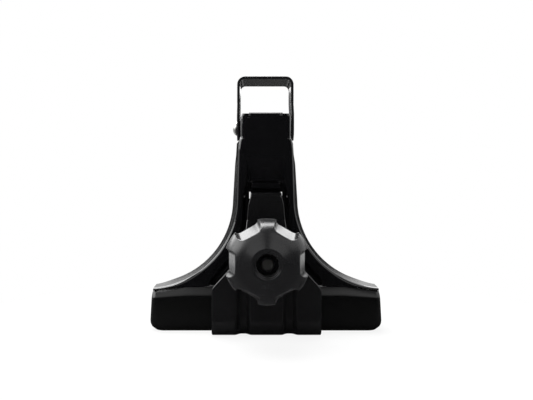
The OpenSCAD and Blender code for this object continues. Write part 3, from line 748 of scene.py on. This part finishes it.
def shoe_plug(s, side):
    """The block that fills one wing, its top following the sweep's inner side. It ends
    short of the tip, starts sunk in the shoe and stays shy of the flange's back edge."""
    x0 = s.clamp_w / 2 + s.recess_margin + s.sheet + s.gap
    short, sunk, shy = 13, 4, 4
    x1 = s.tip_x - short
    reach = s.sweep_r + s.sheet + 2 * s.gap
    x = np.linspace(x0, x1, 20)
    arc = np.stack([x, s.sweep_cz - np.sqrt(reach**2 - (s.sweep_cx - x) ** 2)], axis=-1)
    foot = s.shoe_h - sunk
    outline = np.concatenate([[[x1, foot], [x0, foot]], arc]) * [side, 1]
    low = s.web_back + s.gap
    return prism(outline, low, low + s.flange_d - s.sheet - shy, 1)


class FOOT_OT_shoe(bpy.types.Operator):
    """Moulds the shoe that stands in the gutter"""

    bl_idname = "foot.shoe"
    bl_label = "Gutter shoe"

    def execute(self, context):
        s, look = layout(), context.scene.foot_finishes
        piece = mesh_of("shoe_moulding", [shoe_skin(s), shoe_plug(s, 1), shoe_plug(s, -1)])
        finish = moulding("shoe_black_moulding", look.shoe_black, look.shoe_gloss, 1500, 0.00001)
        settle(piece, finish, "foot", "black_moulding", "gutter_shoe")
        return {"FINISHED"}


# The lever bracket.


def bracket_half(s, z):
    """Half the bracket's width at a height, with its corners rounded."""
    heights = [s.shoulder_z, s.waist_z, s.bolt_z + 12,
               s.tongue_z - 15, s.tongue_z - 8, s.tongue_z - 3]
    half = s.tongue_w / 2
    halves = [s.clamp_w / 2, s.waist_half, half + 3.2, half + 1.9, half + 1.3, half]
    return blurred(lambda at: np.interp(at, heights, halves), 1.5, z)


def bracket_skin(s):
    """The pressed lever: a plate carried from the lip behind the slot, over the tongue and
    the joggle, down the face and round the hook. Two grooves are pressed into the face."""
    half_t, inner_r, edge_r = s.plate / 2, 1.2, 0.8
    lip_up, tongue_len, wall_run, bend = 3.5, 18, 2.8, 1.1
    lip_y = s.floor_back + 2 * s.gap + half_t
    path, normal = rounded_path(
        [[lip_y, s.tongue_z + lip_up], [lip_y, s.tongue_z - half_t],
         [s.tongue_y + half_t, s.tongue_z - half_t], [s.tongue_y + half_t, s.tongue_z - tongue_len],
         [s.clamp_y + half_t, s.joggle_foot], [s.clamp_y + half_t, half_t],
         [s.clamp_y + s.hook_reach, half_t]], half_t + inner_r, 1.1)
    y, z = path[:, :1], path[:, 1:]
    half = bracket_half(s, path[:, 1])
    hook_foot = s.clamp_y + s.plate + inner_r
    along_hook = (y - hook_foot) / (s.clamp_y + s.hook_reach - hook_foot)
    fade = ease((s.joggle_foot - z) / 9) * (1 - np.clip(along_hook, 0, 1))

    def push(x):
        inside = (s.groove_w / 2 - np.abs(np.abs(x) - s.groove_x)) * s.groove_depth / wall_run
        return soft_max(soft_min(inside, s.groove_depth, bend), 0.0, bend) * fade

    w, near, far = s.clamp_w / 2, s.groove_x - 6, s.groove_x + 6
    columns = steps(-w, 6, -far, 32, -near, 8, near, 32, far, 6, w)
    path, normal = np.insert(path, 0, 0, axis=1), np.insert(normal, 0, 0, axis=1)
    rings = plate_rings(path, -normal, (1, 0, 0), -half, half, s.plate, edge_r, columns, push)
    return tube(rings)


def bracket_slot(s):
    """The upright slot that lets the bracket swing on the bolt."""
    swing = math.radians(12.8)
    drop = (s.clamp_out * 1.2 * math.sin(swing) + (s.tongue_z - s.bolt_z) * (1 - math.cos(swing))
            + 2 * s.gap)
    a = np.linspace(0, np.pi, 17)
    r = (s.bolt_d + 1) / 2
    ends = [np.stack([r * np.cos(a), s.bolt_z + r * np.sin(a)], axis=-1),
            np.stack([-r * np.cos(a), s.bolt_z - drop - r * np.sin(a)], axis=-1)]
    return prism(np.concatenate(ends), s.clamp_y - 2, s.clamp_y + s.plate + 2, 1)


class FOOT_OT_bracket(bpy.types.Operator):
    """Presses the lever bracket with its tongue, grooves, slot and hook"""

    bl_idname = "foot.bracket"
    bl_label = "Clamp bracket"

    def execute(self, context):
        s, look = layout(), context.scene.foot_finishes
        piece = carved(mesh_of("bracket_pressing", [bracket_skin(s)]), [bracket_slot(s)])
        paint = gloss_paint("bracket_gloss_paint", look.clamp_black, look.paint_gloss + 0.05, 1.3)
        settle(piece, paint, "clamp", "clamp_black_paint", "clamp_bracket")
        return {"FINISHED"}


# The shackle.


def shackle_skin(s):
    """The bent strap: a plate carried up one leg, round the bar and down the other leg. The
    legs narrow to round ears about the cross bolt."""
    mid_x, mid_r = s.loop_w / 2 + s.strap / 2, s.strap_r + s.strap / 2
    corner_x, corner_z = s.loop_w / 2 - s.strap_r, s.loop_z - s.strap_r
    ear = s.cross_z - s.ear_r * np.cos(np.radians(np.linspace(0, 90, 19)))
    leg_z = np.concatenate([ear[:-1], np.linspace(s.cross_z, corner_z, 30)])
    a = np.radians(np.linspace(0, 90, 11))[1:]
    arc_x, arc_z = corner_x + mid_r * np.cos(a), corner_z + mid_r * np.sin(a)
    top_x = np.linspace(corner_x, 0, 10)[1:]
    x = np.concatenate([0 * leg_z + mid_x, arc_x, top_x])
    z = np.concatenate([leg_z, arc_z, 0 * top_x + s.loop_z + s.strap / 2])
    nx = np.concatenate([0 * leg_z + 1, np.cos(a), 0 * top_x])
    nz = np.concatenate([0 * leg_z, np.sin(a), 0 * top_x + 1])
    x, z = np.concatenate([x, -x[-2::-1]]), np.concatenate([z, z[-2::-1]])
    nx, nz = np.concatenate([nx, -nx[-2::-1]]), np.concatenate([nz, nz[-2::-1]])
    round_end = np.sqrt(np.clip(s.ear_r**2 - (s.cross_z - z) ** 2, 0, None))
    shoulder_foot, shoulder_top, back_top = s.cross_z + 9, s.cross_z + 16, s.cross_z + 20
    front = np.interp(z, [shoulder_foot, shoulder_top], [s.cross_y - s.ear_r, s.strap_y])
    front = np.where(z < s.cross_z, s.cross_y - round_end, front)
    tangent, edge_r = math.radians(32), 0.55
    join_z = s.cross_z - s.ear_r * math.sin(tangent)
    back = np.interp(z, [join_z, back_top],
                     [s.cross_y + s.ear_r * math.cos(tangent), s.strap_y + s.strap_w])
    back = np.where(z < join_z, s.cross_y + round_end, back)
    path = np.stack([x, 0 * x, z], axis=-1)
    normal = np.stack([nx, 0 * x, nz], axis=-1)
    columns = front[:, None] + (back - front)[:, None] * np.linspace(0, 1, 12)
    return tube(plate_rings(path, normal, (0, 1, 0), front, back, s.strap, edge_r, columns))


class FOOT_OT_shackle(bpy.types.Operator):
    """Bends the strap shackle that holds the load bar"""

    bl_idname = "foot.shackle"
    bl_label = "Bar shackle"

    def execute(self, context):
        s, look = layout(), context.scene.foot_finishes
        hole = circle(s.cross_d / 2 + 0.1, (s.cross_y, s.cross_z))
        piece = carved(mesh_of("shackle_strap", [shackle_skin(s)]), [prism(hole, -50, 50, 0)])
        paint = gloss_paint("shackle_satin_paint", look.shackle_black, look.paint_gloss + 0.14, 0.4)
        settle(piece, paint, "shackle", "shackle_black_paint", "bar_shackle")
        return {"FINISHED"}


# The knob and its bolt.


def along_bolt(s, radius, angle, height):
    """Points round the bolt's axis; height counts from the grip's back towards the viewer."""
    return np.stack([radius * np.cos(angle), s.knob_back - height + 0 * angle,
                     s.bolt_z + radius * np.sin(angle)], axis=-1)


def notch_radius(s, angle, height):
    """Distance from the axis to the wall of the nearest finger notch: a flat floor that
    leans in towards the face, ending in a round hollow at each side."""
    r, hollow = s.knob_d / 2, 3.4
    half_angle = np.pi / s.lobes - math.asin(s.lobe_w / s.knob_d)
    rim = min(hollow, r * math.cos(half_angle) - r + s.notch_depth)
    flat = r * math.sin(half_angle) - math.sqrt(hollow**2 - (hollow - rim) ** 2)
    pitch = 2 * np.pi / s.lobes
    off = np.abs((angle - np.pi / 2) % pitch - pitch / 2)
    floor = r - s.notch_depth - height * math.tan(s.notch_lean)
    level = floor / np.cos(off)
    cx, cy = floor + hollow, flat
    along = cx * np.cos(off) + cy * np.sin(off)
    inner = along**2 - (cx**2 + cy**2) + hollow**2
    round_wall = np.where(inner > 0, along - np.sqrt(np.maximum(inner, 0)), 2 * r)
    return np.where(floor * np.tan(off) <= flat, level, round_wall)


def dome_profile(s, count):
    """Radius and height of the grip from its back edge to the rim of the face's recess,
    evenly spaced along a smooth curve through the moulding's points."""
    r = s.knob_d / 2
    a = np.radians(np.arange(10, 61, 10))
    px = np.concatenate([[r - 0.4, r], r * np.cos(a) ** 0.9, [s.face_hole_d / 2 + s.rim_w]])
    pz = np.concatenate([[0, 0.4], s.knob_depth * np.sin(a) ** 0.86, [s.knob_depth]])
    points = np.stack([px, pz], axis=-1)
    padded = np.concatenate([2 * points[:1] - points[1:2], points, 2 * points[-1:] - points[-2:-1]])
    t = np.linspace(0, 1, 12, endpoint=False)[:, None]
    curve = []
    for p0, p1, p2, p3 in zip(padded, padded[1:], padded[2:], padded[3:]):
        curve.append(0.5 * (2 * p1 + (p2 - p0) * t + (2 * p0 - 5 * p1 + 4 * p2 - p3) * t**2
                            + (3 * p1 - p0 - 3 * p2 + p3) * t**3))
    curve = np.concatenate([*curve, points[-1:]])
    along = np.concatenate([[0], np.cumsum(np.hypot(*np.diff(curve, axis=0).T))])
    at = np.linspace(0, along[-1], count)
    return np.interp(at, along, curve[:, 0]), np.interp(at, along, curve[:, 1])


def knob_skin(s):
    """The moulded knob: one closed profile turned about the bolt, from the bore over the
    nut's pocket, the hub, the grip's back, the domed grip and the recess in its face back
    to the bore. The grip takes the lesser of the dome and the notch walls."""
    angle = np.linspace(0, 2 * np.pi, 432, endpoint=False)[None]
    hub_len = s.hub_back - s.knob_back
    bore, hub, hole = s.bolt_d / 2 + 0.2, s.hub_d / 2, s.face_hole_d / 2
    af, nut_t = s.bolt_d * 1.625 + 0.1, s.bolt_d * 0.8 + 0.3
    hexagon = af / 2 / np.cos(angle % (np.pi / 3) - np.pi / 6)
    hole_floor = s.knob_depth - 10
    hub_edge_r, hub_root_r, rim_drop, inner_r, floor_r = 0.6, 1.0, 0.7, 0.9, 0.8
    wall_top = s.knob_depth - rim_drop - inner_r
    rim_r, rim_h = dome_profile(s, 64)
    back_edge = soft_min(rim_r[0] + 0 * angle, notch_radius(s, angle, 0.0) - 0.35, 0.5)
    rows = []

    def ring(radius, height):
        rows.append(along_bolt(s, radius + 0 * angle, angle, height)[0])

    ring(bore, hole_floor)
    ring(bore, nut_t - hub_len)
    ring(hexagon, nut_t - hub_len)
    ring(hexagon, -hub_len + 0.01)
    ring(hexagon + 0.3, -hub_len)
    for k in np.radians(np.linspace(0, 90, 5)):
        ring(hub - hub_edge_r * (1 - math.sin(k)), -hub_len + hub_edge_r * (1 - math.cos(k)))
    for k in np.radians(np.linspace(0, 90, 5)):
        ring(hub + hub_root_r * (1 - math.cos(k)), -hub_root_r * (1 - math.sin(k)))
    for k in np.linspace(0, 1, 6)[1:]:
        ring(hub + hub_root_r + (back_edge - hub - hub_root_r) * k, 0.0)
    for radius, height in zip(rim_r[1:], rim_h[1:]):
        ring(soft_min(radius + 0 * angle, notch_radius(s, angle, height), 0.5), height)
    for k in np.radians(np.linspace(0, 90, 5)[1:]):
        ring(hole + s.rim_w - (s.rim_w - inner_r) * math.sin(k),
             s.knob_depth - rim_drop * (1 - math.cos(k)))
    for k in np.radians(np.linspace(0, 90, 5)[1:]):
        ring(hole + inner_r * (1 - math.sin(k)), wall_top + inner_r * math.cos(k))
    for k in np.linspace(0, 1, 8)[1:]:
        ring(hole, wall_top + (hole_floor + floor_r - wall_top) * k)
    for k in np.radians(np.linspace(0, 90, 4)[1:]):
        ring(hole - floor_r * (1 - math.cos(k)), hole_floor + floor_r * (1 - math.sin(k)))
    return tube(np.stack(rows), closed=True)


def bolt_skin(s):
    """The carriage bolt: rings along its axis whose radius follows a V thread, then a
    square neck and a domed head."""
    angle = np.linspace(0, 2 * np.pi, 48, endpoint=False)[None]
    neck, head, chamfer = s.floor_y, s.floor_back + 3, 1.0
    y = np.arange(s.bolt_end + chamfer, neck - 2, s.pitch / 8)[:, None]
    wave = np.abs((y / s.pitch - angle / (2 * np.pi)) % 1 * 2 - 1)
    thread = s.bolt_d / 2 - 0.6 * s.pitch * np.clip(1.15 * wave - 0.08, 0, 1)
    tip_r = s.bolt_d / 2 - chamfer
    square = s.bolt_d / 2 / np.maximum(np.abs(np.cos(angle)), np.abs(np.sin(angle)))
    square = soft_min(square, 0 * square + s.bolt_d * 0.66, 0.6)
    head_r, head_edge, head_rise = s.bolt_d * 1.25, 0.8, 3.2
    tilt = np.radians(np.linspace(12, 84, 9))
    dome, rise = head_r * np.cos(tilt), head_edge + head_rise * np.sin(tilt)
    rows = [(s.bolt_end, tip_r - 0.1), (s.bolt_end, tip_r), *zip(y[:, 0], thread),
            (neck - 1.6, s.bolt_d / 2), (neck, s.bolt_d / 2), (neck, square), (head, square),
            (head, head_r), (head + head_edge, head_r), *zip(head + rise, dome)]
    rings = [along_bolt(s, radius + 0 * angle, angle, s.knob_back - place)[0]
             for place, radius in rows]
    return tube(np.stack(rings))


class FOOT_OT_knob(bpy.types.Operator):
    """Moulds the lobed knob and turns the threaded bolt"""

    bl_idname = "foot.knob"
    bl_label = "Knob and bolt"

    def execute(self, context):
        s, look = layout(), context.scene.foot_finishes
        knob = mesh_of("knob_moulding", [knob_skin(s)])
        finish = moulding("knob_satin_moulding", look.knob_grey, look.knob_gloss, 1900, 0.000016,
                          bloom=0.12)
        settle(knob, finish, "handle", "knob_plastic", "knob", crease=40)
        bolt = mesh_of("bolt_threaded", [bolt_skin(s)])
        steel = plated("bolt_zinc_plate", look.zinc, 0.36, 1)
        settle(bolt, steel, "foot", "zinc_steel", "clamp_bolt", crease=40)
        return {"FINISHED"}


class FOOT_OT_hardware(bpy.types.Operator):
    """Gives the carried-over hardware its finishes"""

    bl_idname = "foot.hardware"
    bl_label = "Hardware finishes"

    def execute(self, context):
        look = context.scene.foot_finishes
        bright = plated("cross_bolt_zinc_plate", look.zinc, 0.30, 0)
        zinc = plated("washer_zinc_plate", look.zinc, 0.38, 2)
        spring = plated("ring_spring_steel", look.spring_grey, 0.42, 2)
        painted = gloss_paint("doubler_paint", look.tower_black, look.paint_gloss + 0.1)
        nylon = moulding("washer_black_nylon", look.shackle_black, 0.5, 1800, 0.00001)
        rubber = moulding("guard_black_rubber", look.rubber_black, 0.72, 900, 0.00003, 1.5)
        finishes = {
            "cross_bolt": bright, "cross_nut": bright, "spacer_sleeve": zinc,
            "thrust_washer": zinc, "knob_nut": zinc, "bolt_retainer": spring,
            "bolt_plate": painted, "shackle_washers": nylon, "hook_guard": rubber,
        }
        for name, finish in finishes.items():
            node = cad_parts[name]
            if node.material_slots:
                node.material_slots[0].material = finish
            else:
                node.data.materials.append(finish)
        return {"FINISHED"}


# Floor, light and camera.


def soft_light(name, place, target, size, power):
    """A square softbox at a place, turned to a target, both in metres."""
    lamp = bpy.data.lights.new(name, "AREA")
    lamp.shape, lamp.size, lamp.size_y, lamp.energy = "RECTANGLE", size[0], size[1], power
    made = bpy.data.objects.new(name, lamp)
    made.location = place
    turn = (Vector(target) - Vector(place)).to_track_quat("-Z", "Y")
    made.rotation_euler = turn.to_euler()
    made.visible_camera = False
    bpy.context.scene.collection.objects.link(made)


def flat_card(name, corners, finish):
    """A flat face that belongs to the stage."""
    mesh = bpy.data.meshes.new(name)
    mesh.from_pydata(corners, [], [list(range(len(corners)))])
    mesh.materials.append(finish)
    card = bpy.data.objects.new(name, mesh)
    bpy.context.scene.collection.objects.link(card)
    return card


def card_cloth(name, level, fade=None):
    """A card's dark cloth, which may fade away between two heights, lower towards the sides."""
    f = Finish(name)
    cloth = f.node("ShaderNodeBsdfDiffuse", None, {"Color": (level, level, level, 1)})[0]
    if fade:
        x, _, z = f.node("ShaderNodeSeparateXYZ", None, {"Vector": f.place()})
        height = z + x.math("ABSOLUTE", x)
        gone = f.node("ShaderNodeMapRange", None,
                      {"Value": height, "From Min": fade[0], "From Max": fade[1]})[0]
        clear = f.node("ShaderNodeBsdfTransparent")[0]
        cloth = f.node("ShaderNodeMixShader", None, {0: gone, 1: cloth, 2: clear})[0]
    f.node("ShaderNodeOutputMaterial", None, {"Surface": cloth})
    return f.owner


def reflected_card(name, corners, finish):
    """A card that is only met by mirrored rays: it darkens what the gloss reflects."""
    card = flat_card(name, corners, finish)
    card.visible_camera = card.visible_shadow = card.visible_diffuse = False


def upright_card(name, start, end, height, finish, foot=0.0):
    """A reflected card that stands over two points, from its foot up to a height."""
    corners = [(*start, foot), (*end, foot), (*end, height), (*start, height)]
    reflected_card(name, corners, finish)


def level_corners(x0, x1, y0, y1, z):
    """Corners of a level rectangle."""
    return [(x0, y0, z), (x1, y0, z), (x1, y1, z), (x0, y1, z)]


def seen_plainly(f):
    """1 for rays from the camera and for mirrored or bent rays, 0 for scattered light."""
    camera, _, _, glossy, _, _, transmission = f.node("ShaderNodeLightPath")[:7]
    return camera.math("MAXIMUM", camera, camera.math("MAXIMUM", glossy, transmission))


def white_room(scene):
    """A white world: plain white where it is seen or mirrored, dimmer as a source of light."""
    world = bpy.data.worlds.new("white_room")
    scene.world = world
    f = Finish("", world)
    dimmed = 0.45
    level = seen_plainly(f) * (1 - dimmed) + dimmed
    sky = f.node("ShaderNodeBackground", None, {"Color": (1, 1, 1, 1), "Strength": level})[0]
    f.node("ShaderNodeOutputWorld", None, {"Surface": sky})


def white_floor():
    """A floor that keeps a part of the shadow near the foot and is plain white beyond."""
    far, near_edge, far_edge, near_share = 6.0, 0.10, 0.22, 0.86
    f = Finish("white_floor")
    paper = f.node("ShaderNodeBsdfDiffuse", None, {"Color": (0.9, 0.9, 0.9, 1)})[0]
    lit = f.node("ShaderNodeEmission", None, {"Color": (1, 1, 1, 1), "Strength": 1.0})[0]
    away = f.node("ShaderNodeVectorMath", {"operation": "LENGTH"}, {0: f.place()})[0]
    even = f.node("ShaderNodeMapRange", None, {
        "Value": away, "From Min": near_edge, "From Max": far_edge, "To Min": near_share,
        "To Max": 1.0,
    })[0]
    blend = f.node("ShaderNodeMixShader", None, {0: seen_plainly(f) * even, 1: paper, 2: lit})[0]
    f.node("ShaderNodeOutputMaterial", None, {"Surface": blend})
    flat_card("floor", level_corners(-far, far, -far, far, 0), f.owner)


def dark_cards():
    """What the gloss mirrors, in metres: low cards stand round the front and behind the foot,
    a strip of cards closes over it, and others lie on the floor, a little over one another."""
    black, grey = card_cloth("black_card", 0.01), card_cloth("grey_card", 0.05)
    fading = card_cloth("fading_card", 0.03, (0.55, 0.70))
    low_fading = card_cloth("low_fading_card", 0.03, (1.2, 1.6))
    pale = card_cloth("pale_card", 0.4)
    wide, front, back_half, strip = 1.4, -0.9, 0.57, 0.14
    low_h, high, back_h, side_back_h = 0.62, 1.1, 0.70, 0.30
    upright_card("front_card", (-wide, front), (wide, front), low_h, black)
    upright_card("tall_card", (-strip, front), (strip, front), high, black, low_h)
    upright_card("back_card", (-back_half, wide), (back_half, wide), back_h, fading)
    reflected_card("roof_card", level_corners(-strip, strip, front, 0.1, high), black)
    split, pale_x, pale_y = -0.06, 0.13, 0.2
    reflected_card("front_floor_card", level_corners(-wide, wide, front, split, 0.0006), black)
    reflected_card("back_floor_card", level_corners(-wide, wide, split, wide, 0.0004), grey)
    for side, name in ((-1, "left"), (1, "right")):
        edge = side * wide
        upright_card(name + "_front_card", (edge, 0), (edge, front), low_h, black)
        upright_card(name + "_back_card", (side * 1.3, 0.75), (side * back_half, wide),
                     side_back_h, low_fading)
        reflected_card(name + "_pale_card",
                       level_corners(side * pale_x, edge, pale_y, wide, 0.0008), pale)
        inner, outer = side * strip, side * 0.9
        reflected_card(name + "_roof_card", [(inner, -0.3, high), (outer, -0.3, high),
                                             (outer, 0.4, high), (inner, 0.1, high)], black)


def softboxes():
    """The softboxes, each turned to the foot: place and size in metres, power in watts."""
    for name, place, size, power in (
        ("top_softbox", (-0.15, 0.38, 0.90), (0.80, 0.55), 14),
        ("back_softbox", (-0.30, 0.83, 0.55), (1.64, 0.44), 7),
        ("left_softbox", (-0.80, 0.0, 0.49), (0.60, 0.50), 3),
    ):
        soft_light(name, place, (0, 0, 0.08), size, power)


def photo_camera(scene):
    """A level camera that looks along +Y from where the photo was taken. Its focal length
    and the picture's middle are in pixels."""
    focal, middle = 553, 254.3
    camera = bpy.data.cameras.new("camera")
    camera.sensor_width = 36
    camera.lens = camera.sensor_width * focal / PHOTO_W
    camera.shift_x = (PHOTO_W / 2 - middle) / PHOTO_W
    camera.clip_start = 0.01
    eye = bpy.data.objects.new("camera", camera)
    eye.location = (-0.0073, -0.358, 0.0815)
    eye.rotation_euler = (math.pi / 2, 0, 0)
    scene.collection.objects.link(eye)
    scene.camera = eye
    scene.view_settings.view_transform = "Standard"


class FOOT_OT_stage(bpy.types.Operator):
    """Sets the floor, the soft lights, the cards round the foot and the camera"""

    bl_idname = "foot.stage"
    bl_label = "Stage"

    def execute(self, context):
        white_room(context.scene)
        white_floor()
        dark_cards()
        softboxes()
        photo_camera(context.scene)
        return {"FINISHED"}


class FOOT_PT_panel(bpy.types.Panel):
    """The foot's pieces, sizes and finishes"""

    bl_idname = "FOOT_PT_panel"
    bl_label = "Roof Bar Foot"
    bl_space_type = "VIEW_3D"
    bl_region_type = "UI"
    bl_category = "Roof Bar Foot"

    def draw(self, context):
        for operator in OPERATORS:
            self.layout.operator(operator.bl_idname)
        for title, group, keys in (
            ("Sizes", context.scene.foot_sizes, FootSizes.__annotations__),
            ("Finishes", context.scene.foot_finishes, FootFinishes.__annotations__),
        ):
            section = self.layout.box()
            section.label(text=title)
            for key in keys:
                section.prop(group, key)


OPERATORS = (FOOT_OT_stage, FOOT_OT_tower, FOOT_OT_shoe, FOOT_OT_bracket, FOOT_OT_shackle,
             FOOT_OT_knob, FOOT_OT_hardware)
CLASSES = (FootSizes, FootFinishes, *OPERATORS, FOOT_PT_panel)


def register():
    """Adds the classes and the two groups of properties."""
    for cls in CLASSES:
        bpy.utils.register_class(cls)
    bpy.types.Scene.foot_sizes = PointerProperty(type=FootSizes)
    bpy.types.Scene.foot_finishes = PointerProperty(type=FootFinishes)


def unregister():
    """Takes them away again."""
    del bpy.types.Scene.foot_finishes
    del bpy.types.Scene.foot_sizes
    for cls in reversed(CLASSES):
        bpy.utils.unregister_class(cls)


def main():
    """Runs every operator."""
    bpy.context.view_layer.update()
    register()
    for operator in OPERATORS:
        family, name = operator.bl_idname.split(".")
        getattr(getattr(bpy.ops, family), name)()


if __name__ == "__main__":
    main()
